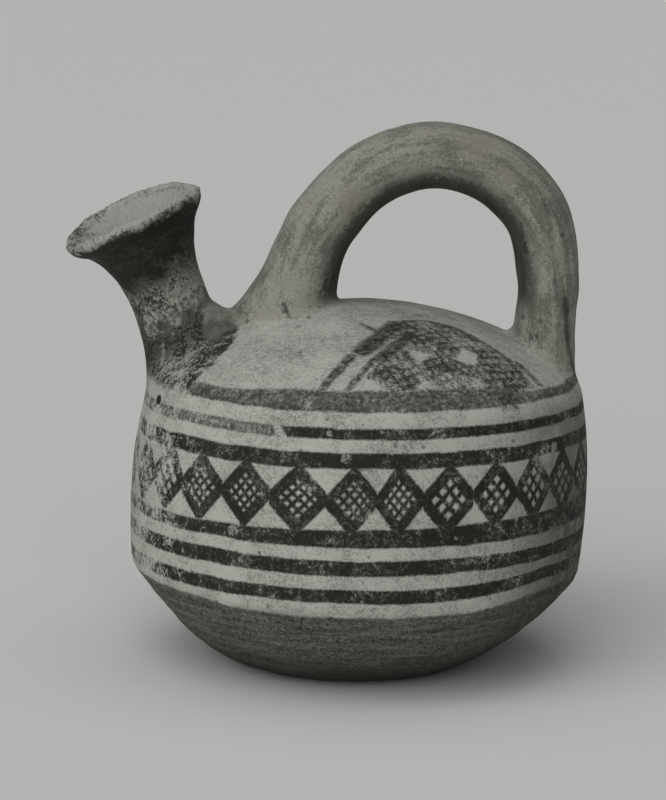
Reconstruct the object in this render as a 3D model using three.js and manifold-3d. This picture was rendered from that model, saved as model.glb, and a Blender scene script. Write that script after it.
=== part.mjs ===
// A squat painted pottery jug with a closed, domed top. A basket handle stands over the dome
// and a trumpet-mouthed spout rises from the edge of the shoulder. Body, spout and handle were
// made apart, luted together and fired as one piece of clay. They are three solids here, parted
// along the potter's joins.
// Millimetres, +Z up. The origin is the middle of the flat underside, the spout points to -X
// and the handle stands in the XZ plane.

import * as THREE from 'three';
import { mergeVertices } from 'three/addons/utils/BufferGeometryUtils.js';
import Module from 'manifold-3d';

// Body, thrown as a body of revolution
const bellyRadius = 75;
const standRadius = 32;
const carinationInset = 0.9;
const carinationHeight = 32.2;
const shoulderInset = 3.4;
const shoulderHeight = 94.6;
const shoulderRound = 5;
const domeRise = 24;
const bodyWall = 5;
const floorThickness = 6;
const bodyLeanDegrees = 2.5;
const bodyTipDegrees = 1;
const undersideFlatness = 0.44;

// Spout, from its foot inside the shoulder to the rim of the mouth
const spoutBoreRadius = 9.2;
const spoutWall = 3.4;
const spoutFootFlare = 3.6;
const spoutFootProud = 1.2;
const spoutHeelFlare = 6;
const mouthRadius = 24;
const mouthLip = 3.6;
const mouthRise = 50.3;
const mouthOverhang = 4.8;
const mouthAside = 3;
const mouthTiltDegrees = 23.3;
const mouthTurnDegrees = 13;
const neckShare = 0.56;
const throatShare = 0.6;

// Clay smeared between the spout and the handle
const saddleRise = 1.8;
const saddleDip = 4;
const saddleWidth = 27;
const saddleThickness = 14;
const saddleInset = 5;

// Basket handle
const archRadius = 38.7;
const archSquaring = 0.8;
const archLift = 9.5;
const handleThickness = 22;
const handleWidth = 26;
const rearLegThickness = 19.2;
const rearLegSetback = 2.9;
const frontLegSplay = 3.1;
const frontRootFlare = 5.5;
const rearRootFlare = 2.2;
const rootFlareLength = 8;
const rootDepth = 8;

// Room left in each join between two solids
const joinGap = 0.3;

// Fineness of the facets
const bodySides = 72;
const cavitySides = 48;
const undersideSteps = 7;
const wallSteps = 6;
const shoulderSteps = 3;
const domeSteps = 8;
const spoutSides = 28;
const boreSides = 20;
const handleSides = 20;
const saddleSides = 14;
const spoutSteps = 15;
const handleSteps = 34;
const saddleSteps = 8;
const weldTolerance = 1e-4;

const carinationRadius = bellyRadius - carinationInset;
const shoulderRadius = bellyRadius - shoulderInset;
const domeTop = shoulderHeight + domeRise;
const domeRadius = (shoulderRadius ** 2 + domeRise ** 2) / (2 * domeRise);
const domeCentreHeight = domeTop - domeRadius;
const bodyLean = Math.tan(THREE.MathUtils.degToRad(bodyLeanDegrees));
const bodyTip = Math.tan(THREE.MathUtils.degToRad(bodyTipDegrees));
const shoulderShift = bodyLean * shoulderHeight;

const wasm = await Module();
wasm.setup();

// A closed mesh becomes a solid once its shared corners are merged and its empty triangles go.
function solidFrom(geometry) {
  geometry.deleteAttribute('normal');
  geometry.deleteAttribute('uv');
  const merged = mergeVertices(geometry, weldTolerance);
  const corners = merged.index.array;
  const kept = [];
  for (let i = 0; i < corners.length; i += 3) {
    const [a, b, c] = [corners[i], corners[i + 1], corners[i + 2]];
    if (a !== b && b !== c && c !== a) kept.push(a, b, c);
  }
  return new wasm.Manifold(new wasm.Mesh({
    numProp: 3,
    vertProperties: new Float32Array(merged.attributes.position.array),
    triVerts: new Uint32Array(kept),
  }));
}

function geometryFrom(solid) {
  const mesh = solid.getMesh();
  const geometry = new THREE.BufferGeometry();
  geometry.setAttribute('position', new THREE.BufferAttribute(new Float32Array(mesh.vertProperties), 3));
  geometry.setIndex(new THREE.BufferAttribute(new Uint32Array(mesh.triVerts), 1));
  geometry.computeVertexNormals();
  return geometry;
}

// Turned about Z and then set askew as the real body is: it leans towards the handle, and above
// the carination its levels tip down that way. The underside stays flat.
function turned(outline, sides) {
  const geometry = new THREE.LatheGeometry(outline, sides);
  geometry.rotateX(Math.PI / 2);
  const position = geometry.attributes.position;
  for (let i = 0; i < position.count; i++) {
    const x = position.getX(i);
    const z = position.getZ(i);
    const tipped = bodyTip * THREE.MathUtils.smoothstep(z, 0, carinationHeight);
    position.setXYZ(i, x + bodyLean * z, position.getY(i), z - tipped * x);
  }
  return solidFrom(geometry);
}

// Radius and height of the body's side view from the middle of the underside to the top of
// the dome: a rounded underside, a sharp carination, a nearly upright wall with a slight belly,
// a soft shoulder break and a dome that is one arc. The cavity is the same line a wall inside.
function bodyOutline(wall, floor) {
  const start = new THREE.Vector2(standRadius - wall, floor);
  const break1 = new THREE.Vector2(carinationRadius - wall, carinationHeight);
  const underside = new THREE.Vector2(
    THREE.MathUtils.lerp(start.x, break1.x, undersideFlatness),
    start.y,
  );
  const arcRadius = domeRadius - wall;
  const cornerRadius = shoulderRadius - wall;
  const cornerHeight = domeCentreHeight + Math.sqrt(arcRadius ** 2 - cornerRadius ** 2);
  const break2 = new THREE.Vector2(cornerRadius, cornerHeight - shoulderRound);
  const bellyHeight = (break1.y + break2.y) / 2;
  const belly = new THREE.Vector2(2 * (bellyRadius - wall) - (break1.x + break2.x) / 2, bellyHeight);
  const domeStart = Math.acos((cornerRadius - shoulderRound) / arcRadius);
  const dome = new THREE.EllipseCurve(
    0, domeCentreHeight, arcRadius, arcRadius, domeStart, Math.PI / 2);
  const corner = new THREE.Vector2(cornerRadius, cornerHeight);
  const outline = [
    new THREE.Vector2(0, floor),
    ...new THREE.QuadraticBezierCurve(start, underside, break1).getPoints(undersideSteps),
    ...new THREE.QuadraticBezierCurve(break1, belly, break2).getPoints(wallSteps).slice(1),
    ...new THREE.QuadraticBezierCurve(break2, corner, dome.getPoint(0)).getPoints(shoulderSteps).slice(1),
    ...dome.getPoints(domeSteps).slice(1),
  ];
  outline[outline.length - 1].x = 0;
  return outline;
}

// A closed tube through rings. Each ring has a middle, two directions and a half size along each.
function loft(rings, sides) {
  const positions = [];
  const index = [];
  for (const ring of rings) {
    for (let i = 0; i < sides; i++) {
      const angle = 2 * Math.PI * i / sides;
      const point = ring.middle.clone()
        .addScaledVector(ring.across, ring.halfAcross * Math.cos(angle))
        .addScaledVector(ring.depth, ring.halfDepth * Math.sin(angle));
      positions.push(...point);
    }
  }
  for (let r = 0; r + 1 < rings.length; r++) {
    for (let i = 0; i < sides; i++) {
      const here = r * sides + i;
      const next = r * sides + (i + 1) % sides;
      index.push(here, next, next + sides, here, next + sides, here + sides);
    }
  }
  const first = rings.length * sides;
  const last = first + 1;
  positions.push(...rings[0].middle, ...rings[rings.length - 1].middle);
  for (let i = 0; i < sides; i++) {
    const next = (i + 1) % sides;
    const top = (rings.length - 1) * sides;
    index.push(first, next, i, last, top + i, top + next);
  }
  const geometry = new THREE.BufferGeometry();
  geometry.setAttribute('position', new THREE.Float32BufferAttribute(positions, 3));
  geometry.setIndex(index);
  return solidFrom(geometry);
}

// Height of the dome's surface over a place on the X axis.
function domeHeight(x) {
  const reach = x - shoulderShift;
  return domeCentreHeight + Math.sqrt(domeRadius ** 2 - reach ** 2) - bodyTip * reach;
}

// The spout's middle line rises from just inside the shoulder and leans out over the wall.
const neckRadius = spoutBoreRadius + spoutWall;
const spoutFootRadius = neckRadius + spoutFootFlare;
const shoulderFrontX = shoulderShift - shoulderRadius;
const spoutFoot = new THREE.Vector3(
  shoulderFrontX - spoutFootProud + spoutFootRadius, 0, shoulderHeight - 1.2 * bodyWall);
const mouthMiddle = new THREE.Vector3(
  shoulderFrontX - mouthOverhang, -mouthAside, shoulderHeight + mouthRise);
const spoutReach = mouthMiddle.x - spoutFoot.x;
const spoutClimb = mouthMiddle.z - spoutFoot.z;
const spoutLine = new THREE.CubicBezierCurve3(
  spoutFoot,
  new THREE.Vector3(spoutFoot.x + 0.1 * spoutReach, 0, spoutFoot.z + 0.25 * spoutClimb),
  new THREE.Vector3(spoutFoot.x + 0.51 * spoutReach, -mouthAside / 4, spoutFoot.z + 0.69 * spoutClimb),
  mouthMiddle,
);

// A ring across the spout. Rings tilt outwards as they climb, and the mouth turns to -Y.
function spoutRing(share, halfSize, spread = 0) {
  const tilt = THREE.MathUtils.degToRad(mouthTiltDegrees) * Math.sqrt(Math.max(share, 0));
  const turn = THREE.MathUtils.degToRad(mouthTurnDegrees) * THREE.MathUtils.smoothstep(share, 0.3, 1);
  const across = new THREE.Vector3(Math.cos(tilt), 0, Math.sin(tilt));
  const level = new THREE.Vector3(0, 1, 0);
  const upright = new THREE.Vector3(-Math.sin(tilt), 0, Math.cos(tilt));
  const depth = level.multiplyScalar(Math.cos(turn)).addScaledVector(upright, Math.sin(turn));
  const middle = spoutLine.getPoint(Math.min(share, 1));
  return { middle, across, depth, halfAcross: halfSize, halfDepth: halfSize + spread };
}

function pushedOut(ring, distance) {
  const along = new THREE.Vector3().crossVectors(ring.across, ring.depth);
  ring.middle.addScaledVector(along, distance);
  return ring;
}

// Trumpet outline: a narrow stretch that opens slowly at first and then quickly to the rim.
function trumpetRadius(share, start, narrow, wide) {
  if (share <= start) return narrow;
  const along = (share - start) / (1 - start);
  const slow = along ** 1.5;
  const quick = along ** 2.8;
  return THREE.MathUtils.lerp(narrow, wide, THREE.MathUtils.lerp(slow, quick, 0.75));
}

// The foot spreads as it comes down, most of all at its heel towards the handle.
function spoutOuter(gap = 0) {
  const rings = [pushedOut(spoutRing(0, neckRadius + gap), -shoulderRound)];
  for (let i = 0; i <= spoutSteps; i++) {
    const share = i / spoutSteps;
    const lowness = Math.max(0, 1 - share / neckShare);
    const flare = spoutFootFlare * lowness ** 1.6;
    const heel = spoutHeelFlare * lowness ** 2;
    const radius = trumpetRadius(share, neckShare, neckRadius, mouthRadius) + flare;
    const ring = spoutRing(share, radius + heel / 2 + gap, flare / 3);
    ring.middle.addScaledVector(ring.across, heel / 2);
    rings.push(ring);
  }
  const lipRound = mouthLip / 3;
  rings.push(pushedOut(spoutRing(1, mouthRadius - lipRound + gap), lipRound));
  return loft(rings, spoutSides);
}

// The bore widens downwards until only the body's wall is left round the foot.
function spoutBore() {
  const footBoreRadius = spoutFootRadius - bodyWall;
  const rings = [];
  for (let i = 0; i <= spoutSteps; i++) {
    const share = i / spoutSteps;
    const widening = (footBoreRadius - spoutBoreRadius) * Math.max(0, 1 - share / neckShare) ** 1.2;
    const radius = trumpetRadius(share, throatShare, spoutBoreRadius, mouthRadius - mouthLip);
    rings.push(spoutRing(share, radius + widening));
  }
  rings.push(pushedOut(spoutRing(1, mouthRadius - mouthLip / 2), mouthLip));
  return loft(rings, boreSides);
}

// The handle's middle line: a splayed front leg behind the spout, a round arch and a rear leg
// that stands just inside the edge of the shoulder.
const rearLegX = shoulderShift + shoulderRadius - rearLegSetback - rearLegThickness / 2;
const archX = rearLegX - archRadius;
const archZ = domeTop + archLift;
const frontLegX = archX - archRadius - frontLegSplay;

function archPoint(degrees) {
  const angle = THREE.MathUtils.degToRad(degrees);
  const reach = archRadius + archSquaring * Math.sin(2 * angle);
  return new THREE.Vector3(archX + reach * Math.cos(angle), 0, archZ + reach * Math.sin(angle));
}

function handleRings() {
  const frontSurface = domeHeight(frontLegX);
  const rearSurface = domeHeight(rearLegX);
  const line = new THREE.CatmullRomCurve3([
    new THREE.Vector3(frontLegX, 0, frontSurface - rootDepth),
    new THREE.Vector3(frontLegX, 0, THREE.MathUtils.lerp(frontSurface, archZ, 0.4)),
    archPoint(170).setX(frontLegX + 0.8 * frontLegSplay),
    ...[150, 120, 90, 60, 30, 0].map(archPoint),
    new THREE.Vector3(rearLegX, 0, THREE.MathUtils.lerp(rearSurface, archZ, 0.5)),
    new THREE.Vector3(rearLegX, 0, rearSurface - rootDepth),
  ], false, 'centripetal');
  const rings = [];
  for (let i = 0; i <= handleSteps; i++) {
    const share = i / handleSteps;
    const middle = line.getPointAt(share);
    const tangent = line.getTangentAt(share);
    const depth = new THREE.Vector3(0, 1, 0);
    const across = new THREE.Vector3().crossVectors(depth, tangent).normalize();
    const front = share < 0.5;
    const above = Math.max(middle.z - (front ? frontSurface : rearSurface), 0);
    const swell = Math.exp(-above / rootFlareLength);
    const flare = (front ? frontRootFlare : rearRootFlare) * swell;
    const thickness = THREE.MathUtils.lerp(
      handleThickness, rearLegThickness, THREE.MathUtils.smoothstep(share, 0.62, 0.88));
    middle.addScaledVector(across, front ? -flare : flare);
    const halfAcross = thickness / 2 + flare;
    rings.push({ middle, across, depth, halfAcross, halfDepth: handleWidth / 2 + flare });
  }
  return rings;
}

// Clay smeared into the valley between the spout and the front leg, lowest in the middle.
function saddle(gap = 0) {
  const from = spoutFoot.x + saddleInset;
  const to = frontLegX - saddleInset + gap;
  const rings = [];
  for (let i = 0; i <= saddleSteps; i++) {
    const share = i / saddleSteps;
    const x = THREE.MathUtils.lerp(from, to, share);
    const top = domeHeight((from + to) / 2) + saddleRise + saddleDip * (2 * share - 1) ** 2;
    const middle = new THREE.Vector3(x, 0, top - saddleThickness / 2);
    const across = new THREE.Vector3(0, 1, 0);
    const depth = new THREE.Vector3(0, 0, 1);
    const halfAcross = saddleWidth / 2 + gap;
    const halfDepth = saddleThickness / 2 + gap;
    rings.push({ middle, across, depth, halfAcross, halfDepth });
  }
  return loft(rings, saddleSides);
}

const pot = turned(bodyOutline(0, 0), bodySides);
const potAndGap = turned(bodyOutline(-joinGap, -joinGap), bodySides);
const cavity = turned(bodyOutline(bodyWall, floorThickness), cavitySides);
const bore = spoutBore();

const body = pot.subtract(cavity.add(bore));
const spout = spoutOuter().add(saddle()).subtract(potAndGap.add(bore));
const roots = potAndGap.add(spoutOuter(joinGap)).add(saddle(joinGap));
const handle = loft(handleRings(), handleSides).subtract(roots);

const clay = new THREE.MeshStandardMaterial({ color: 0xa89f8c, roughness: 0.85, metalness: 0 });
const group = new THREE.Group();
for (const [name, solid] of Object.entries({ body, spout, handle })) {
  const mesh = new THREE.Mesh(geometryFrom(solid), clay.clone());
  mesh.name = name;
  group.add(mesh);
}

export default group;
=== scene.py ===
import math

import bmesh
import bpy
from mathutils import Matrix, Vector, noise
from mathutils.bvhtree import BVHTree
from mathutils.kdtree import KDTree


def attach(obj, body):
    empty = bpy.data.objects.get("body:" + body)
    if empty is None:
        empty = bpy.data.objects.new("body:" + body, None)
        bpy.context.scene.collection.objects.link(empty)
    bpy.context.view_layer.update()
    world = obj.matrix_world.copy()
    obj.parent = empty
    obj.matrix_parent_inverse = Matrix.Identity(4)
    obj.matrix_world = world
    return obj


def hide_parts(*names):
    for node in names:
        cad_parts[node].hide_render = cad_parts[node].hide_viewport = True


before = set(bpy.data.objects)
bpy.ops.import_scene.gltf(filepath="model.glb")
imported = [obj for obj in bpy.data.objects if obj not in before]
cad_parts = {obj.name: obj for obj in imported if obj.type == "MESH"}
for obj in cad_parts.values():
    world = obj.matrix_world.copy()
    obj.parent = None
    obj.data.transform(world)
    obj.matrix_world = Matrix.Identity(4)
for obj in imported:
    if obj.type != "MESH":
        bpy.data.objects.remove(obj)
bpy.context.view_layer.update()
bpy.ops.object.select_all(action="DESELECT")

MM = 0.001

# The body
# A closed pot of coarse buff clay, thrown upright on a slow wheel. Its underside was scraped
# round while the clay was leather hard, which left the sharp edge under the belly. It sagged a
# little towards the handle before it was fired.
BELLY_RADIUS = 75.0
STAND_RADIUS = 32.0
EDGE_INSET = 0.9
EDGE_HEIGHT = 32.2
SHOULDER_INSET = 3.4
SHOULDER_HEIGHT = 94.6
SHOULDER_ROUND = 5.0
DOME_RISE = 24.0
WALL = 5.0
FLOOR_THICKNESS = 6.0
LEAN = math.tan(math.radians(2.5))
TIP = math.tan(math.radians(1.0))
UNDERSIDE_FLATNESS = 0.44

edge_radius = BELLY_RADIUS - EDGE_INSET
shoulder_radius = BELLY_RADIUS - SHOULDER_INSET
dome_top = SHOULDER_HEIGHT + DOME_RISE
dome_radius = (shoulder_radius ** 2 + DOME_RISE ** 2) / (2 * DOME_RISE)
dome_centre = dome_top - dome_radius
shoulder_shift = LEAN * SHOULDER_HEIGHT


def smoothstep(value, low, high):
    share = min(max((value - low) / (high - low), 0.0), 1.0)
    return share * share * (3 - 2 * share)


def mix(low, high, share):
    return low + (high - low) * share


def bent(start, pull, end, steps):
    points = []
    for step in range(1, steps + 1):
        t = step / steps
        points.append(start * (1 - t) ** 2 + pull * 2 * t * (1 - t) + end * t * t)
    return points


def pot_outline(wall, floor):
    """Radius and height from the middle of the underside to the top of the dome."""
    start = Vector((STAND_RADIUS - wall, floor))
    edge = Vector((edge_radius - wall, EDGE_HEIGHT))
    underside = Vector((mix(start.x, edge.x, UNDERSIDE_FLATNESS), floor))
    arc = dome_radius - wall
    corner_radius = shoulder_radius - wall
    corner_height = dome_centre + math.sqrt(arc ** 2 - corner_radius ** 2)
    upper = Vector((corner_radius, corner_height - SHOULDER_ROUND))
    belly = Vector((2 * (BELLY_RADIUS - wall) - (edge.x + upper.x) / 2, (edge.y + upper.y) / 2))
    turn = math.acos((corner_radius - SHOULDER_ROUND) / arc)
    dome = []
    for step in range(61):
        angle = mix(turn, math.pi / 2, step / 60)
        dome.append(Vector((arc * math.cos(angle), dome_centre + arc * math.sin(angle))))
    dome[-1].x = 0
    outline = [Vector((0, floor)), start]
    outline += bent(start, underside, edge, 48)
    outline += bent(edge, belly, upper, 48)
    outline += bent(upper, Vector((corner_radius, corner_height)), dome[0], 8)
    return outline + dome[1:]


def thrown(name, outline):
    """One point drawn along the outline and spun round the wheel's axis, then set askew."""
    bpy.ops.mesh.primitive_plane_add(size=MM)
    pot = bpy.context.object
    pot.name = name
    bpy.ops.object.mode_set(mode="EDIT")
    bpy.ops.mesh.merge(type="CENTER")
    first = bmesh.from_edit_mesh(pot.data).verts[:][0]
    first.co = (outline[0].x * MM, 0, outline[0].y * MM)
    for here, there in zip(outline, outline[1:]):
        step = (there - here) * MM
        bpy.ops.mesh.extrude_vertices_move(TRANSFORM_OT_translate={"value": (step.x, 0, step.y)})
    bpy.ops.mesh.select_all(action="SELECT")
    bpy.ops.mesh.spin(steps=240, angle=2 * math.pi, center=(0, 0, 0), axis=(0, 0, 1))
    bpy.ops.mesh.select_all(action="SELECT")
    bpy.ops.mesh.remove_doubles(threshold=0.01 * MM)
    bpy.ops.mesh.normals_make_consistent(inside=False)
    bpy.ops.object.mode_set(mode="OBJECT")
    for vertex in pot.data.vertices:
        x, y, z = vertex.co
        tipped = TIP * smoothstep(z, 0, EDGE_HEIGHT * MM)
        vertex.co = (x + LEAN * z, y, z - tipped * x)
    return pot


body = thrown("thrown_body", pot_outline(0, 0))
cavity = thrown("hollow", pot_outline(WALL, FLOOR_THICKNESS))


def dome_height(x):
    reach = x - shoulder_shift
    return dome_centre + math.sqrt(dome_radius ** 2 - reach ** 2) - TIP * reach


# The spout
# A trumpet-mouthed tube of the same clay, made by itself and set over a hole in the shoulder.
# Its foot was spread with the thumb, most of all towards the handle, and its mouth turns a
# little to the front.
BORE_RADIUS = 9.2
SPOUT_WALL = 3.4
FOOT_FLARE = 3.6
FOOT_PROUD = 1.2
HEEL_FLARE = 6.0
MOUTH_RADIUS = 24.0
MOUTH_LIP = 3.6
MOUTH_RISE = 50.3
MOUTH_OVERHANG = 4.8
MOUTH_ASIDE = 3.0
MOUTH_TILT = math.radians(23.3)
MOUTH_TURN = math.radians(13)
NECK_SHARE = 0.56
THROAT_SHARE = 0.6

neck_radius = BORE_RADIUS + SPOUT_WALL
foot_radius = neck_radius + FOOT_FLARE
shoulder_front = shoulder_shift - shoulder_radius
spout_foot = Vector((shoulder_front - FOOT_PROUD + foot_radius, 0, SHOULDER_HEIGHT - 1.2 * WALL))
mouth_middle = Vector((shoulder_front - MOUTH_OVERHANG, -MOUTH_ASIDE, SHOULDER_HEIGHT + MOUTH_RISE))
climb = mouth_middle - spout_foot
spout_line = (
    spout_foot,
    spout_foot + Vector((0.1 * climb.x, 0, 0.25 * climb.z)),
    spout_foot + Vector((0.51 * climb.x, -MOUTH_ASIDE / 4, 0.69 * climb.z)),
    mouth_middle,
)


def spout_ring(share, half_size, spread=0.0, aside=0.0, pushed=0.0):
    """Middle, two directions and two half sizes of a ring across the spout."""
    tilt = MOUTH_TILT * math.sqrt(share)
    turn = MOUTH_TURN * smoothstep(share, 0.3, 1)
    across = Vector((math.cos(tilt), 0, math.sin(tilt)))
    upright = Vector((-math.sin(tilt), 0, math.cos(tilt)))
    depth = Vector((0, 1, 0)) * math.cos(turn) + upright * math.sin(turn)
    a, b, c, d = spout_line
    left = 1 - share
    middle = a * left ** 3 + b * 3 * left ** 2 * share + c * 3 * left * share ** 2 + d * share ** 3
    middle += across * aside + across.cross(depth) * pushed
    return middle, across, depth, half_size, half_size + spread


def trumpet(share, start, narrow, wide):
    along = max(share - start, 0) / (1 - start)
    return mix(narrow, wide, mix(along ** 1.5, along ** 2.8, 0.75))


def drawn_out(name, rings, sides):
    """A closed tube: a flat disc of clay extruded from ring to ring."""
    bpy.ops.mesh.primitive_circle_add(vertices=sides, radius=MM, fill_type="NGON")
    tube = bpy.context.object
    tube.name = name
    bpy.ops.object.mode_set(mode="EDIT")
    for number, (middle, across, depth, half_across, half_depth) in enumerate(rings):
        if number:
            bpy.ops.mesh.extrude_region_move(TRANSFORM_OT_translate={"value": (0, 0, MM)})
        shape = bmesh.from_edit_mesh(tube.data)
        end = next(face for face in shape.faces if face.select)
        for corner, vertex in enumerate(end.verts):
            angle = 2 * math.pi * corner / sides
            place = across * (half_across * math.cos(angle)) + depth * (half_depth * math.sin(angle))
            vertex.co = (middle + place) * MM
    bpy.ops.mesh.select_all(action="SELECT")
    bpy.ops.mesh.normals_make_consistent(inside=False)
    bpy.ops.object.mode_set(mode="OBJECT")
    return tube


SPOUT_STEPS = 60
outer_rings = [spout_ring(0, neck_radius, pushed=-SHOULDER_ROUND)]
bore_rings = []
for step in range(SPOUT_STEPS + 1):
    share = step / SPOUT_STEPS
    lowness = max(0, 1 - share / NECK_SHARE)
    heel = HEEL_FLARE * lowness ** 2
    flare = FOOT_FLARE * lowness ** 1.6
    size = trumpet(share, NECK_SHARE, neck_radius, MOUTH_RADIUS) + flare
    outer_rings.append(spout_ring(share, size + heel / 2, spread=flare / 3, aside=heel / 2))
    widening = (foot_radius - WALL - BORE_RADIUS) * lowness ** 1.2
    bore_rings.append(
        spout_ring(share, trumpet(share, THROAT_SHARE, BORE_RADIUS, MOUTH_RADIUS - MOUTH_LIP) + widening))
outer_rings.append(spout_ring(1, MOUTH_RADIUS - MOUTH_LIP / 3, pushed=MOUTH_LIP / 3))
bore_rings.append(spout_ring(1, MOUTH_RADIUS - MOUTH_LIP / 2, pushed=MOUTH_LIP))
spout = drawn_out("spout", outer_rings, 96)
bore = drawn_out("spout_bore", bore_rings, 72)

# The handle
# A thick roll of clay bent into a basket handle over the dome. Both feet were pressed on to the
# body while wet, and a pad of soft clay was smeared into the valley between the front foot and
# the spout.
SADDLE_RISE = 1.8
SADDLE_DIP = 4.0
SADDLE_WIDTH = 27.0
SADDLE_THICKNESS = 14.0
SADDLE_INSET = 5.0
ARCH_RADIUS = 38.7
ARCH_SQUARING = 0.8
ARCH_LIFT = 9.5
HANDLE_THICKNESS = 22.0
HANDLE_WIDTH = 26.0
REAR_LEG_THICKNESS = 19.2
REAR_LEG_SETBACK = 2.9
FRONT_LEG_SPLAY = 3.1
FRONT_ROOT_FLARE = 5.5
REAR_ROOT_FLARE = 2.2
ROOT_FLARE_LENGTH = 8.0
ROOT_DEPTH = 8.0

rear_leg = shoulder_shift + shoulder_radius - REAR_LEG_SETBACK - REAR_LEG_THICKNESS / 2
arch_middle = Vector((rear_leg - ARCH_RADIUS, 0, dome_top + ARCH_LIFT))
front_leg = arch_middle.x - ARCH_RADIUS - FRONT_LEG_SPLAY
front_surface = dome_height(front_leg)
rear_surface = dome_height(rear_leg)


def arch_point(degrees):
    angle = math.radians(degrees)
    reach = ARCH_RADIUS + ARCH_SQUARING * math.sin(2 * angle)
    return arch_middle + Vector((reach * math.cos(angle), 0, reach * math.sin(angle)))


bend = arch_point(170)
bend.x = front_leg + 0.8 * FRONT_LEG_SPLAY
stations = [
    Vector((front_leg, 0, front_surface - ROOT_DEPTH)),
    Vector((front_leg, 0, mix(front_surface, arch_middle.z, 0.4))),
    bend,
    *[arch_point(degrees) for degrees in (150, 120, 90, 60, 30, 0)],
    Vector((rear_leg, 0, mix(rear_surface, arch_middle.z, 0.5))),
    Vector((rear_leg, 0, rear_surface - ROOT_DEPTH)),
]


def eased(points, per_span):
    """A smooth line through the stations, with a point at each step of each span."""
    ends = [2 * points[0] - points[1], *points, 2 * points[-1] - points[-2]]
    line = []
    for a, b, c, d in zip(ends, ends[1:], ends[2:], ends[3:]):
        ab, bc, cd = math.sqrt((b - a).length), math.sqrt((c - b).length), math.sqrt((d - c).length)
        leave = ((b - a) / ab - (c - a) / (ab + bc) + (c - b) / bc) * bc
        arrive = ((c - b) / bc - (d - b) / (bc + cd) + (d - c) / cd) * bc
        for step in range(per_span):
            t = step / per_span
            line.append(
                b + leave * t + (3 * (c - b) - 2 * leave - arrive) * t ** 2
                + (2 * (b - c) + leave + arrive) * t ** 3)
    return line + [points[-1]]


handle_line = eased(stations, 14)
gone = [0.0]
for here, there in zip(handle_line, handle_line[1:]):
    gone.append(gone[-1] + (there - here).length)
handle_rings = []
for number, middle in enumerate(handle_line):
    before = handle_line[max(number - 1, 0)]
    after = handle_line[min(number + 1, len(handle_line) - 1)]
    share = gone[number] / gone[-1]
    depth = Vector((0, 1, 0))
    across = depth.cross(after - before).normalized()
    front = share < 0.5
    above = max(middle.z - (front_surface if front else rear_surface), 0)
    flare = (FRONT_ROOT_FLARE if front else REAR_ROOT_FLARE) * math.exp(-above / ROOT_FLARE_LENGTH)
    thickness = mix(HANDLE_THICKNESS, REAR_LEG_THICKNESS, smoothstep(share, 0.62, 0.88))
    centre = middle + across * (-flare if front else flare)
    handle_rings.append((centre, across, depth, thickness / 2 + flare, HANDLE_WIDTH / 2 + flare))
handle = drawn_out("handle", handle_rings, 64)

saddle_from = spout_foot.x + SADDLE_INSET
saddle_to = front_leg - SADDLE_INSET
saddle_top = dome_height((saddle_from + saddle_to) / 2) + SADDLE_RISE
saddle_rings = []
for step in range(25):
    share = step / 24
    top = saddle_top + SADDLE_DIP * (2 * share - 1) ** 2
    middle = Vector((mix(saddle_from, saddle_to, share), 0, top - SADDLE_THICKNESS / 2))
    saddle_rings.append(
        (middle, Vector((0, 1, 0)), Vector((0, 0, 1)), SADDLE_WIDTH / 2, SADDLE_THICKNESS / 2))
saddle = drawn_out("smeared_pad", saddle_rings, 48)

# The jug put together
# The parts were luted with wet clay, the joins wiped smooth by hand and the whole fired as one
# piece, so it is one hollow shell of clay here too. Long burial chipped the rim and the edge
# under the belly.
CLAY_GRID = 1.25
JOIN_REACH = 6.0
JOIN_WIPES = 26
ALL_WIPES = 3
RIM_WIPES = 5
INSIDE_KEPT = 0.16
LIP_LIFT = 4.6
OVAL_PIT = Vector((-62.2, -27.8, 89.8))


def surface_of(*pieces):
    joined = bmesh.new()
    for piece in pieces:
        joined.from_mesh(piece.data)
    tree = BVHTree.FromBMesh(joined)
    joined.free()
    return tree


body_surface = surface_of(body)
spout_surface = surface_of(spout)
handle_surface = surface_of(handle, saddle)
inner_surface = surface_of(cavity, bore)

jug = body
jug.name = "painted_jug"
for other, way in ((saddle, "UNION"), (spout, "UNION"), (handle, "UNION"),
                   (cavity, "DIFFERENCE"), (bore, "DIFFERENCE")):
    cut = jug.modifiers.new("luted", "BOOLEAN")
    cut.operation = way
    cut.solver = "MANIFOLD"
    cut.object = other
    bpy.context.view_layer.objects.active = jug
    bpy.ops.object.modifier_apply(modifier=cut.name)
    bpy.data.objects.remove(other)

grain = jug.modifiers.new("clay_grid", "REMESH")
grain.mode = "VOXEL"
grain.voxel_size = CLAY_GRID * MM
bpy.ops.object.modifier_apply(modifier=grain.name)

mouth_across, mouth_depth = spout_ring(1, 1)[1:3]
mouth_axis = mouth_across.cross(mouth_depth)


def below_mouth(place):
    """Distance in mm under the flat of the mouth's rim."""
    return (mouth_middle - place).dot(mouth_axis)


joins = jug.vertex_groups.new(name="joins")
unseen = []
for vertex in jug.data.vertices:
    from_body = body_surface.find_nearest(vertex.co)[3]
    from_added = min(spout_surface.find_nearest(vertex.co)[3],
                     handle_surface.find_nearest(vertex.co)[3])
    wiped = 1 - smoothstep(max(from_body, from_added), 0.3 * JOIN_REACH * MM, JOIN_REACH * MM)
    joins.add([vertex.index], wiped, "REPLACE")
    inside = inner_surface.find_nearest(vertex.co)[3] < 0.5 * CLAY_GRID * MM
    unseen.append(inside and below_mouth(vertex.co / MM) > 34)


def wiped_over(group, passes):
    """The clay of a vertex group, or all of it, smoothed as with a wet hand."""
    wipe = jug.modifiers.new("wiped", "SMOOTH")
    wipe.factor = 0.5
    wipe.iterations = passes
    wipe.vertex_group = group
    bpy.context.view_layer.objects.active = jug
    bpy.ops.object.modifier_apply(modifier=wipe.name)


wiped_over("joins", JOIN_WIPES)
wiped_over("", ALL_WIPES)

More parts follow.
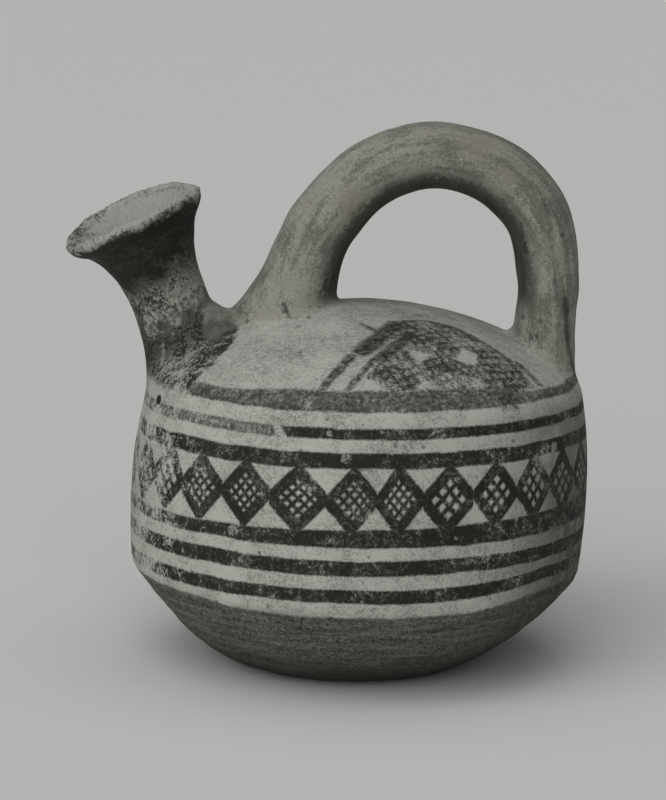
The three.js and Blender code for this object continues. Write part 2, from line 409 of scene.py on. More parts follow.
for edge in jug.data.edges:
    edge.select = False
for vertex, hidden in zip(jug.data.vertices, unseen):
    vertex.select = hidden
for face in jug.data.polygons:
    face.select = all(unseen[corner] for corner in face.vertices)
bpy.ops.object.mode_set(mode="EDIT")
bpy.ops.mesh.select_mode(type="FACE")
bpy.ops.mesh.decimate(ratio=INSIDE_KEPT)
bpy.ops.object.mode_set(mode="OBJECT")

handle_path = KDTree(len(handle_line))
for number, middle in enumerate(handle_line):
    handle_path.insert(middle, number)
handle_path.balance()


def rough(place, reach, seed=0.0):
    """Smooth unevenness of the clay, from -1 to 1, in lumps of the given reach in mm."""
    return noise.noise(place / reach + Vector((seed, 2 * seed, -seed)))


skin = jug.data
shares = {"spout_share": [], "handle_share": [], "hollow_share": [], "handle_along": [],
          "handle_out": [], "mouth_drop": []}
normals = [vertex.normal.copy() for vertex in skin.vertices]
rim = jug.vertex_groups.new(name="rim")
for vertex, normal in zip(skin.vertices, normals):
    place = vertex.co / MM
    from_body = body_surface.find_nearest(vertex.co)[3] / MM
    from_spout = spout_surface.find_nearest(vertex.co)[3] / MM
    from_handle = handle_surface.find_nearest(vertex.co)[3] / MM
    from_inside = inner_surface.find_nearest(vertex.co)[3] / MM
    on_spout = smoothstep(min(from_body, from_handle) - from_spout, -4, 4)
    on_handle = smoothstep(min(from_body, from_spout) - from_handle, -4, 4)
    from_outside = min(from_body, from_spout, from_handle)
    hollow = smoothstep(from_outside - from_inside, 0, 1.6)
    nearest = handle_path.find(place)[1]
    ahead = handle_line[min(nearest + 1, len(handle_line) - 1)]
    behind = handle_line[max(nearest - 1, 0)]
    course = (ahead - behind).normalized()
    offset = place - handle_line[nearest]
    shares["spout_share"].append(on_spout)
    shares["handle_share"].append(on_handle)
    shares["hollow_share"].append(hollow)
    shares["handle_along"].append(gone[nearest] + offset.dot(course))
    shares["handle_out"].append(offset.dot(Vector((0, 1, 0)).cross(course)))

    push = 0.34 * rough(place, 28) + 0.12 * rough(place, 9, 3.1)
    push += on_handle * (0.55 * rough(place, 17, 5.7) + 0.2 * rough(place, 6, 8.2))
    push += on_spout * (0.45 * rough(place, 15, 1.3) + 0.2 * rough(place, 5.5, 4.4))
    drop = below_mouth(place)
    shares["mouth_drop"].append(drop)
    nearness = smoothstep((mouth_middle - place).dot(mouth_depth) / MOUTH_RADIUS, 0.0, 0.85)
    along = smoothstep((place - mouth_middle).dot(mouth_across) / MOUTH_RADIUS, -0.95, -0.1)
    lift = LIP_LIFT * nearness * mix(0.4, 1, along) * smoothstep(drop, 24, 1) * on_spout
    near_rim = on_spout * (1 - smoothstep(abs(drop - 1), 1.5, 5))
    push += near_rim * (0.8 + 0.6 * rough(place, 9, 2.2) - 0.7 * max(rough(place, 5, 6.6) - 0.16, 0))
    rim.add([vertex.index], near_rim, "REPLACE")
    near_edge = 1 - smoothstep(abs(place.z - EDGE_HEIGHT), 1, 4)
    push -= near_edge * 1.5 * max(rough(place, 6, 7.3) - 0.2, 0)
    low = (1 - smoothstep(place.z, 26, 34)) * (1 - hollow)
    scrape = Vector((place.x / 3, place.y / 3, place.z))
    push += low * (0.22 * rough(scrape, 3.2, 9.9) + 0.12 * rough(place, 4, 1.7))
    to_pit = place - OVAL_PIT
    to_pit.x *= 0.75
    push -= 1.1 * math.exp(-to_pit.length_squared / 2.2)
    vertex.co += normal * (push * (1 - 0.7 * hollow) * MM) + mouth_axis * (lift * MM)
    if place.z < 1.0 and math.hypot(place.x, place.y) < STAND_RADIUS:
        vertex.co.z = 0
    vertex.co.z = max(vertex.co.z, 0)
for name, values in shares.items():
    skin.attributes.new(name, "FLOAT", "POINT")
    skin.attributes[name].data.foreach_set("value", values)

wiped_over("rim", RIM_WIPES)

bpy.ops.object.select_all(action="DESELECT")
jug.select_set(True)
bpy.ops.object.shade_smooth()

# The slip and the paint
# A thin pale slip covers the pot down to the edge under the belly. Bands, hatched lozenges and a
# panel on the dome were brushed over it in a matt brown-black paint before the firing, and they
# have worn thin and chipped since.
LOZENGES = 28
LOZENGE_HEIGHT = 67.8
SLIP_PALE = (0.455, 0.448, 0.410)
SLIP_DULL = (0.215, 0.211, 0.188)
BARE_CLAY = (0.036, 0.035, 0.029)
BARE_PALE = (0.185, 0.182, 0.156)
MOUTH_PALE = (0.345, 0.340, 0.312)
SPOUT_PALE = (0.345, 0.340, 0.302)
# Dark of the spout's worn paint, also laid on the handle as painted shade.
SPOUT_DARK_AND_SHADE = (0.028, 0.027, 0.022)
HANDLE_PALE = (0.325, 0.322, 0.285)
HANDLE_CLAY = (0.132, 0.130, 0.109)
HANDLE_STAIN = (0.205, 0.195, 0.152)
PAINT_DARK = (0.013, 0.0125, 0.010)
PAINT_THIN = (0.112, 0.108, 0.092)
# Slip showing in chips and scratches; also laid on as a painted highlight.
CHIP_AND_HIGHLIGHT = (0.40, 0.395, 0.360)
# Soot black for dots, pits and the oval spot; also laid on as painted shade at the foot.
SOOT_AND_SHADE = (0.016, 0.015, 0.013)

clay = bpy.data.materials.new("painted_clay")
clay.use_nodes = True
tree = clay.node_tree


class Measure:
    """A number that changes from place to place over the clay, for plain sums."""

    def __init__(self, socket):
        self.socket = socket

    def __add__(self, other):
        return reckon("ADD", self, other)

    def __sub__(self, other):
        return reckon("SUBTRACT", self, other)

    def __mul__(self, other):
        return reckon("MULTIPLY", self, other)

    def __truediv__(self, other):
        return reckon("DIVIDE", self, other)

    __radd__, __rmul__ = __add__, __mul__

    def __rsub__(self, other):
        return reckon("SUBTRACT", other, self)

    def __abs__(self):
        return reckon("ABSOLUTE", self)

    def rising(self, start, full):
        """0 at start, 1 at full, with a soft step between them."""
        step = self.socket.node.id_data.nodes.new("ShaderNodeMapRange")
        step.interpolation_type = "SMOOTHSTEP"
        step.clamp = False
        self.socket.node.id_data.links.new(self.socket, step.inputs["Value"])
        step.inputs["From Min"].default_value = start
        step.inputs["From Max"].default_value = full
        return Measure(step.outputs["Result"])


def joined_to(socket, value):
    if isinstance(value, Measure):
        socket.node.id_data.links.new(value.socket, socket)
    else:
        socket.default_value = value


def reckon(operation, *values):
    home = next(value.socket.node.id_data for value in values if isinstance(value, Measure))
    node = home.nodes.new("ShaderNodeMath")
    node.operation = operation
    for socket, value in zip(node.inputs, values):
        joined_to(socket, value)
    return Measure(node.outputs[0])


def arrow(operation, *values, out=0):
    home = next(value.socket.node.id_data for value in values if isinstance(value, Measure))
    node = home.nodes.new("ShaderNodeVectorMath")
    node.operation = operation
    sockets = (node.inputs[0], node.inputs[3]) if operation == "SCALE" else node.inputs
    for socket, value in zip(sockets, values):
        joined_to(socket, value)
    return Measure(node.outputs[out])


def most(*values):
    highest = values[0]
    for value in values[1:]:
        highest = reckon("MAXIMUM", highest, value)
    return highest


def least(*values):
    lowest = values[0]
    for value in values[1:]:
        lowest = reckon("MINIMUM", lowest, value)
    return lowest


def brushed_shape(name, places, shape):
    """A group that takes some places and a size, and puts out one number."""
    group = bpy.data.node_groups.new(name, "ShaderNodeTree")
    for title in places:
        group.interface.new_socket(name=title, in_out="INPUT", socket_type="NodeSocketVector")
    group.interface.new_socket(name="Size", in_out="INPUT", socket_type="NodeSocketFloat")
    group.interface.new_socket(name="Result", in_out="OUTPUT", socket_type="NodeSocketFloat")
    start = group.nodes.new("NodeGroupInput")
    result = shape(*[Measure(socket) for socket in start.outputs[:len(places) + 1]])
    end = group.nodes.new("NodeGroupOutput")
    group.links.new(result.socket, end.inputs[0])
    return group


def stroke_shape(here, first, last, half_width):
    offset = arrow("SUBTRACT", here, first)
    course = arrow("SUBTRACT", last, first)
    share = reckon("DIVIDE", arrow("DOT_PRODUCT", offset, course, out=1),
                   arrow("DOT_PRODUCT", course, course, out=1))
    share = least(most(share, 0.0), 1.0)
    return half_width - arrow("DISTANCE", offset, arrow("SCALE", course, share), out=1)


def spot_shape(here, middle, squash, reach):
    offset = arrow("MULTIPLY", arrow("SUBTRACT", here, middle), squash)
    nearness = reckon("DIVIDE", arrow("LENGTH", offset, out=1), reach)
    return nearness.rising(1.15, 0.55)


stroke_group = brushed_shape("brush_stroke", ("Here", "First", "Last"), stroke_shape)
spot_group = brushed_shape("worn_spot", ("Here", "Middle", "Squash"), spot_shape)


def placed(group, *values):
    node = tree.nodes.new("ShaderNodeGroup")
    node.node_tree = group
    for socket, value in zip(node.inputs, values):
        joined_to(socket, value)
    return Measure(node.outputs[0])


def mottle(where, reach, seed=0.0, detail=2.0, stretch=(1, 1, 1)):
    """Noise about 0, mostly from -1 to 1, in patches of the given reach in mm."""
    shift = tree.nodes.new("ShaderNodeMapping")
    joined_to(shift.inputs["Vector"], where)
    shift.inputs["Location"].default_value = (seed * 17, seed * -11, seed * 23)
    shift.inputs["Scale"].default_value = [1 / (reach * along) for along in stretch]
    field = tree.nodes.new("ShaderNodeTexNoise")
    field.inputs["Scale"].default_value = 1
    field.inputs["Detail"].default_value = detail
    field.inputs["Roughness"].default_value = 0.66
    tree.links.new(shift.outputs[0], field.inputs["Vector"])
    return Measure(field.outputs["Fac"]) * 4.0 - 2.0


def attribute(name):
    node = tree.nodes.new("ShaderNodeAttribute")
    node.attribute_name = name
    return Measure(node.outputs["Fac"])


coordinates = tree.nodes.new("ShaderNodeTexCoord")
here = arrow("SCALE", Measure(coordinates.outputs["Object"]), 1000.0)
parts = tree.nodes.new("ShaderNodeSeparateXYZ")
tree.links.new(here.socket, parts.inputs[0])
x, y, z = [Measure(socket) for socket in parts.outputs]
spoutness = attribute("spout_share")
handleness = attribute("handle_share")
hollowness = attribute("hollow_share")
bodiness = 1 - most(spoutness, handleness)

# Height and angle round the pot, unsettled as a hand-held brush leaves them.
angle = reckon("ARCTAN2", x - LEAN * z, 0 - y) * (180 / math.pi)
waver = mottle(here, 14, 1, 1)
ragged = mottle(here, 0.85, 2, 2)
level = z + waver * 0.32 + ragged * 0.24


def band(low, high):
    if isinstance(low, Measure) or isinstance(high, Measure):
        return least(level - low, high - level)
    return (high - low) / 2 - abs(level - (high + low) / 2)


to_back = angle.rising(165, 100)
neat_gap = 1.0 - abs(angle + 21.6 + (z - 87.8) * 0.65)
top_band = band(94.2, 98.2 + (1.6 * angle.rising(-45, -15) - 3.0 * angle.rising(34, 55)) * to_back)
second_band = least(band(86.1, 89.5), 0 - neat_gap)
third_band = band(77.2, 82.1)
fourth_band = band(53.1, 58.7 + 1.9 * reckon("SINE", angle * (math.pi / 180)))
fifth_band = band(44.3, 49.2)
rise = 1.7 * angle.rising(25, 55) * to_back
sixth_band = least(level - (35.5 + rise), 40.0 + rise - level)
bands = most(top_band, second_band, third_band, fourth_band, fifth_band, sixth_band)

# A chain of lozenges, each one a little different, outlined and then hatched both ways.
uneven = tree.nodes.new("ShaderNodeFloatCurve")
joined_to(uneven.inputs["Value"], angle / 360 + 0.5)
bend_line = uneven.mapping.curves[0].points
bend_line[0].location = (0, 0.5)
bend_line[1].location = (1, 0.5)
for degrees, ahead in ((-90, 0.0), (-61.5, 0.0), (-35.6, -0.014), (-22.4, -0.041), (-8.6, -0.114),
                       (3.2, -0.032), (14.4, 0.097), (27.2, 0.101), (40.2, 0.09), (51.5, 0.18),
                       (62, 0.16), (110, 0.0)):
    bend_line.new(degrees / 360 + 0.5, 0.5 + ahead)
uneven.mapping.update()
count = (angle + 61.5) * (LOZENGES / 360) + (Measure(uneven.outputs[0]) - 0.5)
number = reckon("FLOOR", count)
lozenge = reckon("FLOORED_MODULO", number, LOZENGES)
chance = tree.nodes.new("ShaderNodeTexWhiteNoise")
chance.noise_dimensions = "1D"
joined_to(chance.inputs["W"], lozenge + 7.3)
draws = tree.nodes.new("ShaderNodeSeparateColor")
tree.links.new(chance.outputs["Color"], draws.inputs[0])
draw_one, draw_two, draw_three = [Measure(socket) for socket in draws.outputs]
sideways = (count - number - 0.5) * 2.0 + waver * 0.045 + ragged * 0.03
upwards = (level - (LOZENGE_HEIGHT + 0.8 * (draw_one - 0.5))) / 9.2
size = 0.98 + 0.07 * draw_two
lean = (draw_three - 0.5) * 0.12
across = (sideways + upwards * lean) / size
up = (upwards - sideways * lean) / size
inward = (1 - (abs(across) + abs(up))) * 6.25
outline = least(inward + 1.45, 2.25 - inward)
one_way = abs((across + up) * 6.25 + (draw_one - 0.5) * 0.5)
other_way = abs((across - up) * 6.25 + (draw_two - 0.5) * 0.5)
few_lines = least(abs(one_way - 1.6), abs(other_way - 1.6))
many_lines = least(abs(one_way - 2.5), abs(other_way - 2.5), one_way, other_way)
closer = draw_three.rising(0.44, 0.46)
hatch = 0.84 + ragged * 0.12 - (few_lines * (1 - closer) + (many_lines + 0.14) * closer)
lozenges = most(outline, least(hatch, inward))
wall = least(most(bands, least(lozenges, level - 57.5, 79 - level)), 101.5 - z, bodiness * 8 - 3.2)

patch = mottle(here, 7.5, 4, 3)

# The panel on the dome, brushed in plan: frames, slanting lines and a hatched field with the
# slip left bare in triangles. The hidden side carries the same one.
plan = tree.nodes.new("ShaderNodeCombineXYZ")
joined_to(plan.inputs[0], x + waver * 0.35 + ragged * 0.2)
joined_to(plan.inputs[1], 0 - abs(y + ragged * 0.2))
flat = Measure(plan.outputs[0])


def strokes(half_width, *corners):
    found = None
    for (ax, ay), (bx, by) in zip(corners, corners[1:]):
        drawn = placed(stroke_group, flat, (ax, ay, 0), (bx, by, 0), half_width)
        found = drawn if found is None else most(found, drawn)
    return found


def within(*corners):
    """Distance in mm inside a shape whose corners go round anticlockwise in plan."""
    found = None
    for (ax, ay), (bx, by) in zip(corners, corners[1:] + corners[:1]):
        long = math.hypot(bx - ax, by - ay)
        nx, ny = -(by - ay) / long, (bx - ax) / long
        side = arrow("DOT_PRODUCT", flat, (nx, ny, 0), out=1) - (nx * ax + ny * ay)
        found = side if found is None else least(found, side)
    return found


panel = strokes(1.4, (-10.5, -64), (-1, -48.5))
panel = most(panel, strokes(1.0, (-3.5, -66), (4.5, -52.5), (9, -45.5)))
panel = most(panel, strokes(1.2, (14, -29.5), (14, -25.5), (17, -22.5), (23, -19.5), (28, -20),
                            (36, -22.5), (42, -26), (49, -30.5)))
panel = most(panel, strokes(1.3, (52, -30.5), (58, -36)))
panel = most(panel, strokes(1.0, (17, -40.5), (26, -42), (33, -45), (38, -46.5), (43, -50), (50, -53)))
panel = most(panel, strokes(0.7, (4, -58.5), (4.6, -57), (6.5, -57.6), (8.3, -56)))
blot = most(
    strokes(0.5, (2.2, -28.0), (6.5, -32.5)),
    strokes(2.9, (2.6, -45.5), (8, -37), (13.5, -26.5)),
    strokes(2.1, (8.5, -48.5), (14.5, -39.5), (17.5, -33)),
)
field = within((0.5, -66), (47, -56), (56, -40), (51, -31), (36, -23), (24, -20), (15, -24), (12, -34),
               (4.5, -52))
flaws = most(
    within((0, -63.5), (10.5, -63.5), (4, -58)),
    within((18.3, -61.8), (29.5, -59), (21.5, -56.8)),
    within((16, -43), (20, -50.5), (24, -43.5)),
    within((31, -44), (38, -43.5), (39, -36), (34, -34.5)),
    within((35.5, -53.5), (39, -54.5), (41.5, -51), (37.5, -49.5)),
)
first_lines = arrow("DOT_PRODUCT", flat, (0.83, 0.56, 0), out=1) + patch * 0.5
second_lines = arrow("DOT_PRODUCT", flat, (-0.64, 0.77, 0), out=1) + patch * 0.5
weave = least(reckon("PINGPONG", first_lines, 1.6), reckon("PINGPONG", second_lines, 1.6))
field = least(field, 0 - flaws)
on_dome = least(z.rising(92.5, 93.5), bodiness.rising(0.35, 0.6))

edge = wall.rising(-0.4, 0.45)

# Wear: a fine speckle, thin patches, and more of both towards the spout's side.
speck = mottle(here, 1.5, 3, 4)
worn_side = angle.rising(-38, -66) * angle.rising(-150, -120)
crumbs = mottle(here, 0.62, 5, 3)
thinness = speck * 0.45 + crumbs * 0.4 + patch * 0.45 + worn_side * 0.62
cover = (1 - 0.92 * thinness.rising(0.28, 0.9)) * (1 - (0.22 + 0.2 * speck) * z.rising(91, 97))
cover = cover * (1 - (0.34 + 0.4 * speck) * second_band.rising(-0.5, 0.5) * angle.rising(-19, -23))
wall_paint = edge * cover
faded = (speck * 0.55 + crumbs * 0.6 + patch * 0.6 + 0.55 * weave).rising(1.15, -0.35)
panel_paint = panel.rising(-0.8, 0.5) * (0.52 + 0.42 * faded)
field_paint = field.rising(-1.0, 0.8) * (0.20 + 0.76 * faded)
blot_paint = (blot + patch * 1.1 + crumbs * 0.7).rising(-1.6, 0.9) * (0.80 + 0.2 * faded)
paint_and_shade_mask = most(wall_paint, most(panel_paint, field_paint, blot_paint) * on_dome)
# The lower right side, away from the window, is darkened with the paint: partly a real smudge, partly painted
# shade.
smudge_and_shade = angle.rising(28, 62) * angle.rising(128, 100) * z.rising(97, 85)
smudge_and_shade = smudge_and_shade * (0.72 + 0.26 * z.rising(78, 52))
smudge_and_shade = smudge_and_shade * (crumbs * 0.4 + patch * 0.7 + speck * 0.3).rising(-1.3, 0.5)
paint_and_shade_mask = most(paint_and_shade_mask, smudge_and_shade * bodiness)

# Colours from the clay outwards: bare clay, slip, the darker spout and handle, then the paint.

def laid(below, above, mask):
    node = tree.nodes.new("ShaderNodeMix")
    node.data_type = "RGBA"
    joined_to(node.inputs["Factor"], mask)
    for socket, value in zip((node.inputs[6], node.inputs[7]), (below, above)):
        if isinstance(value, Measure):
            tree.links.new(value.socket, socket)
        else:
            socket.default_value = (*value, 1)
    return Measure(node.outputs[2])


cloud = mottle(here, 16, 6, 2)
scraped = mottle(here, 1.5, 7, 2, (14, 14, 1))
streak_place = tree.nodes.new("ShaderNodeCombineXYZ")
joined_to(streak_place.inputs[0], attribute("handle_along"))
joined_to(streak_place.inputs[1], y)
joined_to(streak_place.inputs[2], attribute("handle_out"))
streaks = mottle(Measure(streak_place.outputs[0]), 3.2, 8, 3, (6, 1, 1))
drop = attribute("mouth_drop")

paleness = cloud * 0.35 + patch * 0.25 + crumbs * 0.7 + speck * 0.4 + 0.34
paleness = paleness - 0.11 * z.rising(92, 96)
skin_colour = laid(SLIP_DULL, SLIP_PALE, paleness.rising(-0.45, 0.65))
slip_end = 30.8 + 2.0 * angle.rising(-25, -50) * angle.rising(-165, -110)
slip_end = slip_end + 3.0 * angle.rising(25, 55) * to_back
unslipped = (slip_end - level - cloud * 0.5).rising(-0.6, 0.8)
paleness = scraped * 0.4 + crumbs * 0.8 + speck * 0.5
clay_colour = laid(BARE_CLAY, BARE_PALE, paleness.rising(-0.6, 0.75))
# Towards the ground the bare clay goes to the soot colour, gone by 19 mm up: painted shade at the foot.
clay_colour = laid(clay_colour, SOOT_AND_SHADE, z.rising(19, 1) * 0.9)
skin_colour = laid(skin_colour, clay_colour, unslipped)

# The handle is made paler towards its left, the side that faces the window: painted light.
paleness = streaks * 0.7 + crumbs * 0.7 + speck * 0.4 + cloud * 0.5 + 0.25 * x.rising(30, -30)
handle_colour = laid(HANDLE_CLAY, HANDLE_PALE, paleness.rising(-0.6, 0.8))
handle_colour = laid(handle_colour, HANDLE_STAIN, (cloud + streaks * 0.7).rising(-0.2, 1.5) * 0.8)
skin_colour = laid(skin_colour, handle_colour, handleness)

blotched = speck * 0.7 + patch * 0.7 + crumbs * 0.7
spout_shade = (blotched + 0.3 * (x + 0.4 * y).rising(-60, -74)).rising(-0.3, 0.8)
spout_colour = laid(SPOUT_PALE, SPOUT_DARK_AND_SHADE, spout_shade)
lip = most((drop + speck * 0.7 + crumbs * 0.4).rising(1.5, -0.6), hollowness * drop.rising(24, 12))
flecks = blotched + 0.35 * drop.rising(3.5, 0) + 0.75 * x.rising(-74, -88) - 0.35 * hollowness
flecks = flecks.rising(0.4, 1.3)
lip = lip * (0.97 - 0.22 * (speck + crumbs * 0.7).rising(-0.3, 0.7) - 0.62 * flecks)
spout_colour = laid(spout_colour, MOUTH_PALE, lip)
skin_colour = laid(skin_colour, spout_colour, spoutness)

collar = least((drop + patch * 1.4 + speck * 0.9).rising(-0.4, 2.0),
               (drop + patch * 7 + speck * 3).rising(25, 14))
collar = collar * spoutness.rising(0.3, 0.6)
collar = collar * (1 - 0.42 * blotched.rising(0.5, 1.2)) * (1 - hollowness)
foot_reach = x + 38 + 13.4 * reckon("POWER", most((abs(y) - 10) / 31.6, 0.0), 3.0) + patch * 1.5
foot_top = least(z.rising(93, 96), (drop + patch * 7 + speck * 3).rising(26, 34))
foot_wash = foot_reach.rising(1.0, -1.0) * foot_top
foot_wash = foot_wash * (0.2 + 0.78 * blotched.rising(0.6, -0.25))
foot_wash = foot_wash * (1 - (handleness + blotched * 0.3).rising(0.1, 0.9))
wash = most(collar, foot_wash)

paint_wear = (speck * 0.7 + patch * 0.6 + crumbs * 0.6).rising(-0.2, 0.85)
paint_colour = laid(PAINT_DARK, PAINT_THIN, paint_wear)
paint_colour = laid(paint_colour, PAINT_DARK, collar * 0.75)
skin_colour = laid(skin_colour, paint_colour, most(paint_and_shade_mask, wash))

# Chips that show the slip, stains, the black oval spot and small dark pits.
LIGHT_CHIPS = (
    (-22, 87.5, 1.6), (-4.5, 80.6, 2.2), (-31.5, 56.5, 2.6), (31.5, 47.5, 2.4), (23, 55, 0.9), (-9, 88, 1.2),
    (51, 90, 1.8), (51, 77, 4.2), (47, 75.5, 3.0), (55, 78, 2.6), (-5, 81.8, 1.2), (-30.2, 58.4, 1.5),
    (32.5, 45.6, 1.2), (-26.5, 97, 1.4), (55, 47.8, 0.8), (60, 36.8, 0.7), (152, 60, 2.6), (-148, 84, 2.2),
    (118, 46, 2.0), (-112, 70, 2.8), (96, 96, 1.8), (172, 37, 1.6),
)
DARK_DOTS = (
    (-49, 50, 0.7), (-24, 50.2, 0.7), (-30, 50, 0.6), (39, 83, 1.0), (14, 83.6, 0.9), (7, 84.6, 0.9),
    (-15.5, 82.8, 0.8), (-43.5, 41, 0.9), (-42.6, 39, 0.7), (-21.5, 33.6, 1.0), (-6, 30.6, 1.0),
    (-54.5, 30.8, 1.3), (-13, 29.7, 0.8), (-10, 92.2, 0.6), (2, 50.4, 0.5), (-36, 32.4, 0.9), (56, 34.5, 0.8),
)
PLACED_DOTS = (
    (-17, -44, 108.4, 0.9), (-40, -48.5, 100.5, 0.7), (-37.5, -48.5, 101, 0.7), (9.3, 1.7, 118.4, 1.2),
    (20.4, -13.9, 116.4, 1.1), (66.3, -11, 142.4, 1.0), (54.7, -7.8, 115.5, 1.4), (59.9, -12.8, 115, 1.1),
    (57.2, -11.8, 109.5, 1.2), (59, -13, 110.1, 1.1), (-22.4, -17.6, 117.3, 1.2), (-21.4, -19.7, 114.3, 0.9),
    (-13.8, -14.7, 117.6, 1.0), (-11.9, -13.1, 118.1, 1.2), (-14.7, -19.2, 115.7, 1.2),
    (-18, -26.3, 113.7, 1.2), (-34.4, -12.9, 113.2, 1.3), (-58.9, -43.3, 37.5, 0.9), (-36.1, -64.5, 54.4, 0.7),
)


def on_wall(degrees, height):
    """The place on the pot's outside at an angle round it and a height."""
    turn = math.radians(degrees)
    height += TIP * belly_radius_at(height) * math.sin(turn)
    reach = belly_radius_at(height)
    return (reach * math.sin(turn) + LEAN * height, -reach * math.cos(turn), height)


def belly_radius_at(height):
    outline = pot_outline(0, 0)
    for low, high in zip(outline, outline[1:]):
        if low.y <= height <= high.y and high.y > low.y:
            return mix(low.x, high.x, (height - low.y) / (high.y - low.y))
    return 0.0


drift = tree.nodes.new("ShaderNodeTexNoise")
joined_to(drift.inputs["Vector"], here)
drift.inputs["Scale"].default_value = 0.8
sway = arrow("SCALE", arrow("SUBTRACT", Measure(drift.outputs["Color"]), (0.5, 0.5, 0.5)), 1.5)
unsettled = arrow("ADD", here, sway)


def spots(places, squash=(1, 1, 1)):
    found = None
    for *middle, reach in places:
        spot = placed(spot_group, unsettled, tuple(middle), squash, reach)
        found = spot if found is None else most(found, spot)
    return found


chips = spots([(*on_wall(degrees, height), reach) for degrees, height, reach in LIGHT_CHIPS])
chips = (chips + speck * 0.35 + crumbs * 0.35).rising(0.75, 1.2)
skin_colour = laid(skin_colour, CHIP_AND_HIGHLIGHT, chips * (0.72 - 0.35 * crumbs.rising(0, 0.8)))
wall_dots = [(*on_wall(degrees, height), reach) for degrees, height, reach in DARK_DOTS]
dots = spots(wall_dots + list(PLACED_DOTS))
dots = (dots + crumbs * 0.4).rising(0.35, 1.0)
skin_colour = laid(skin_colour, SOOT_AND_SHADE, dots * 0.55)


def trails(half_width, *corners):
    found = None
    for first, last in zip(corners, corners[1:]):
        drawn = placed(stroke_group, unsettled, first, last, half_width)
        found = drawn if found is None else most(found, drawn)
    return found


stains = spots([(39.2, -11.4, 169.7, 6), (48.9, -12.2, 163.5, 5), (36, -11, 171.2, 5), (30, 12, 172, 7),
                (66, 11, 140, 6), (-8, 12, 140, 5)])
skin_colour = laid(skin_colour, HANDLE_STAIN, stains * 0.55 * (0.6 + 0.4 * streaks))
# A dark band along the inner edge of the handle, where the arch faces down: painted shade.
inner_shade = (attribute("handle_out") + speck * 2.4 + crumbs * 1.6).rising(3.4, 8.4)
inner_shade = inner_shade * handleness * z.rising(114, 124)
inner_shade = inner_shade * (0.78 + 0.2 * streaks.rising(-0.6, 0.6))
# Dark streaks down the rear leg; the two along its right edge, away from the window, are also painted shade.
leg_streaks_and_shade = most(
    trails(1.7, (67.9, -11.5, 121.7), (68.9, -10.7, 111.8), (70.2, -9.2, 105.1), (72.1, -5.2, 97.9)),
    trails(0.7, (65.2, -12.8, 121.9), (63.2, -13.2, 140), (58.8, -11.1, 157.1)),
    trails(0.5, (59.2, -12.6, 140.9), (63, -12.7, 141)),
    trails(1.2, (71, 8, 125), (72, 5, 100)),
)
leg_streaks_and_shade = (leg_streaks_and_shade + streaks * 1.4 + patch * 0.8 + crumbs * 0.5).rising(-0.4, 1.7)
foot_patch = spots([(-45.5, -13.5, 110.5, 5.2), (-41.5, -13.5, 110.5, 5.0),
                    (-44.5, -17.5, 107.5, 4.0), (-44.5, 14.5, 109.5, 6.0)])
foot_patch = most(foot_patch, trails(1.2, (-23, -16.8, 120), (-21.3, -18.5, 116.2), (-17.5, -19.2, 114.4)),
                  trails(0.9, (-14.5, -14.8, 119), (-13.8, -16.5, 116)))
foot_patch = (foot_patch * (1.2 + patch * 0.7 + speck * 0.9 + crumbs * 0.8)).rising(0.1, 1.5)
# The dark patches at the feet and the leg streaks, together with the painted shade on the handle.
dark_marks_and_shade = most(inner_shade, leg_streaks_and_shade * 0.85, foot_patch * 0.7)
skin_colour = laid(skin_colour, SPOUT_DARK_AND_SHADE, dark_marks_and_shade)
# Pale scratches; the second, short stroke on the spout's foot is a painted highlight.
light_marks_and_highlight = most(
    trails(0.8, (-61.8, -13, 105.2), (-61.8, -13.1, 100.3), (-61.2, -22.6, 97), (-60.7, -29.9, 92.7)),
    trails(1.3, (-50.3, -35.1, 100.2), (-43.9, -37.2, 102.5)),
    trails(0.3, (-8.6, -73.6, 61), (-11.2, -73.3, 59.5), (-12.6, -73.2, 57)),
)
skin_colour = laid(skin_colour, CHIP_AND_HIGHLIGHT, (light_marks_and_highlight + crumbs * 0.5 + speck * 0.4).rising(-0.3, 0.9) * 0.38)

oval = arrow("MULTIPLY", arrow("SUBTRACT", here, tuple(OVAL_PIT)), (0.68, 0.68, 0.9))
oval = (arrow("LENGTH", oval, out=1) + ragged * 0.12).rising(1.65, 1.25)
skin_colour = laid(skin_colour, SOOT_AND_SHADE, oval)

cells = tree.nodes.new("ShaderNodeTexVoronoi")
joined_to(cells.inputs["Vector"], here)
cells.inputs["Scale"].default_value = 1 / 3.6
cell_draws = tree.nodes.new("ShaderNodeSeparateColor")
tree.links.new(cells.outputs["Color"], cell_draws.inputs[0])
lots = Measure(cell_draws.outputs[0])
plenty = 0.10 + 0.30 * unslipped
pit_reach = (lots - (1 - plenty)).rising(0.0, 0.3) * 0.5
near_pit = Measure(cells.outputs["Distance"]) + ragged * 0.02
pits = reckon("LESS_THAN", 1 - plenty, lots) * (pit_reach * 0.32 + 0.10 - near_pit).rising(-0.02, 0.06)
skin_colour = laid(skin_colour, SOOT_AND_SHADE, pits * 0.6 * (1 - spoutness * 0.5))
dust = (speck * 0.5 + crumbs * 0.6).rising(0.95, 1.5)
skin_colour = laid(skin_colour, PAINT_THIN, dust * 0.35 * (1 - paint_and_shade_mask))
skin_colour = laid(skin_colour, BARE_CLAY, hollowness * drop.rising(16, 30))

clay_shader = tree.nodes["Principled BSDF"]
tree.links.new(skin_colour.socket, clay_shader.inputs["Base Color"])
dullness = 0.86 - 0.10 * most(paint_and_shade_mask, wash) + crumbs * 0.04
tree.links.new(dullness.socket, clay_shader.inputs["Roughness"])
clay_shader.inputs["Specular IOR Level"].default_value = 0.3

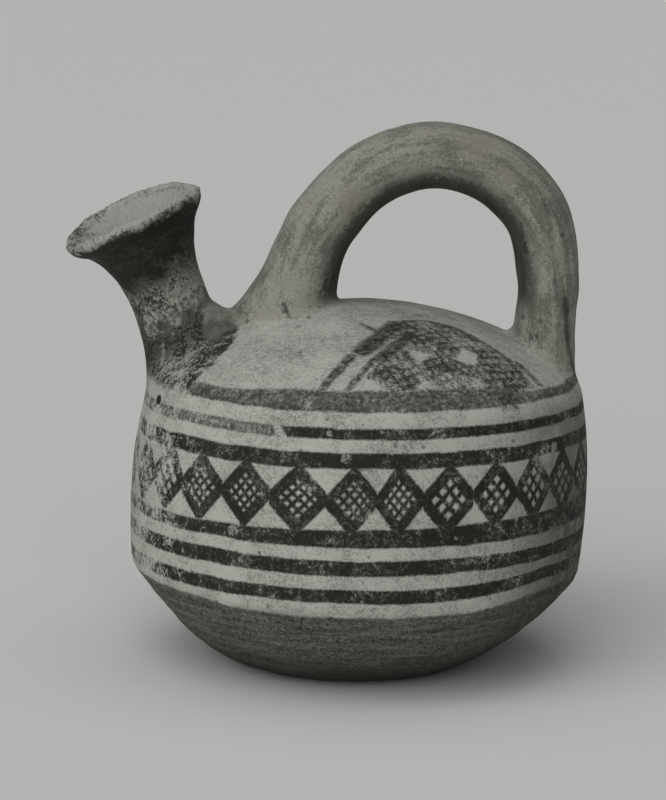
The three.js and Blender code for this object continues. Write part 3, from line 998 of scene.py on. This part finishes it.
wheel_marks = mottle(here, 1.9, 9, 2, (16, 16, 1))
height = crumbs * 0.05 + speck * 0.06 + patch * 0.10
height = height + wheel_marks * (0.05 + 0.07 * z.rising(34, 30)) * (1 - most(handleness, spoutness))
relief = tree.nodes.new("ShaderNodeBump")
relief.inputs["Strength"].default_value = 1.0
relief.inputs["Distance"].default_value = MM
tree.links.new(height.socket, relief.inputs["Height"])
tree.links.new(relief.outputs["Normal"], clay_shader.inputs["Normal"])

jug.data.materials.clear()
jug.data.materials.append(clay)
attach(jug, "root")
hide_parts("body", "spout", "handle")

# The place where it stands
# A plain pale table top, soft light from the upper left in front, and the camera where the
# photographer's was.
TABLE_SIZE = 30
TABLE_PALE = (0.735, 0.742, 0.722)
WINDOW_POWER = 1.95
WINDOW_SPREAD = 80
WINDOW_COURSE = Vector((0.42, 0.76, -0.50))
CEILING_POWER = 0.5
CEILING_SPREAD = 60
ROOM_PALE = (0.9, 0.9, 0.88)
ROOM_GLOW = 0.17
SENSOR = 36
FOCAL_SHARE = 2680 / 800
CAMERA_PLACE = Vector((-6.55, -870, 237.6))
CAMERA_PITCH = 80.1
CAMERA_ROLL = 0.9

bpy.ops.mesh.primitive_plane_add(size=TABLE_SIZE)
table = bpy.context.object
table.name = "table_top"
pale = bpy.data.materials.new("pale_table")
pale.use_nodes = True
pale_shader = pale.node_tree.nodes["Principled BSDF"]
pale_shader.inputs["Base Color"].default_value = (*TABLE_PALE, 1)
pale_shader.inputs["Roughness"].default_value = 0.9
table.data.materials.append(pale)

window = bpy.data.lights.new("window", "SUN")
window.energy = WINDOW_POWER
window.angle = math.radians(WINDOW_SPREAD)
holder = bpy.data.objects.new("window", window)
bpy.context.collection.objects.link(holder)
holder.rotation_euler = WINDOW_COURSE.to_track_quat("-Z", "Y").to_euler()
ceiling = bpy.data.lights.new("ceiling", "SUN")
ceiling.energy = CEILING_POWER
ceiling.angle = math.radians(CEILING_SPREAD)
bpy.context.collection.objects.link(bpy.data.objects.new("ceiling", ceiling))

world = bpy.data.worlds.new("pale_room")
world.use_nodes = True
world.node_tree.nodes["Background"].inputs["Color"].default_value = (*ROOM_PALE, 1)
world.node_tree.nodes["Background"].inputs["Strength"].default_value = ROOM_GLOW
bpy.context.scene.world = world

view = bpy.data.cameras.new("camera")
view.sensor_width = SENSOR
view.lens = SENSOR * FOCAL_SHARE
view.clip_end = 30
camera = bpy.data.objects.new("camera", view)
bpy.context.collection.objects.link(camera)
turned = Matrix.Rotation(math.radians(CAMERA_PITCH), 4, "X")
turned = turned @ Matrix.Rotation(math.radians(CAMERA_ROLL), 4, "Z")
camera.matrix_world = Matrix.Translation(CAMERA_PLACE * MM) @ turned
bpy.context.scene.camera = camera
bpy.context.scene.view_settings.view_transform = "Standard"
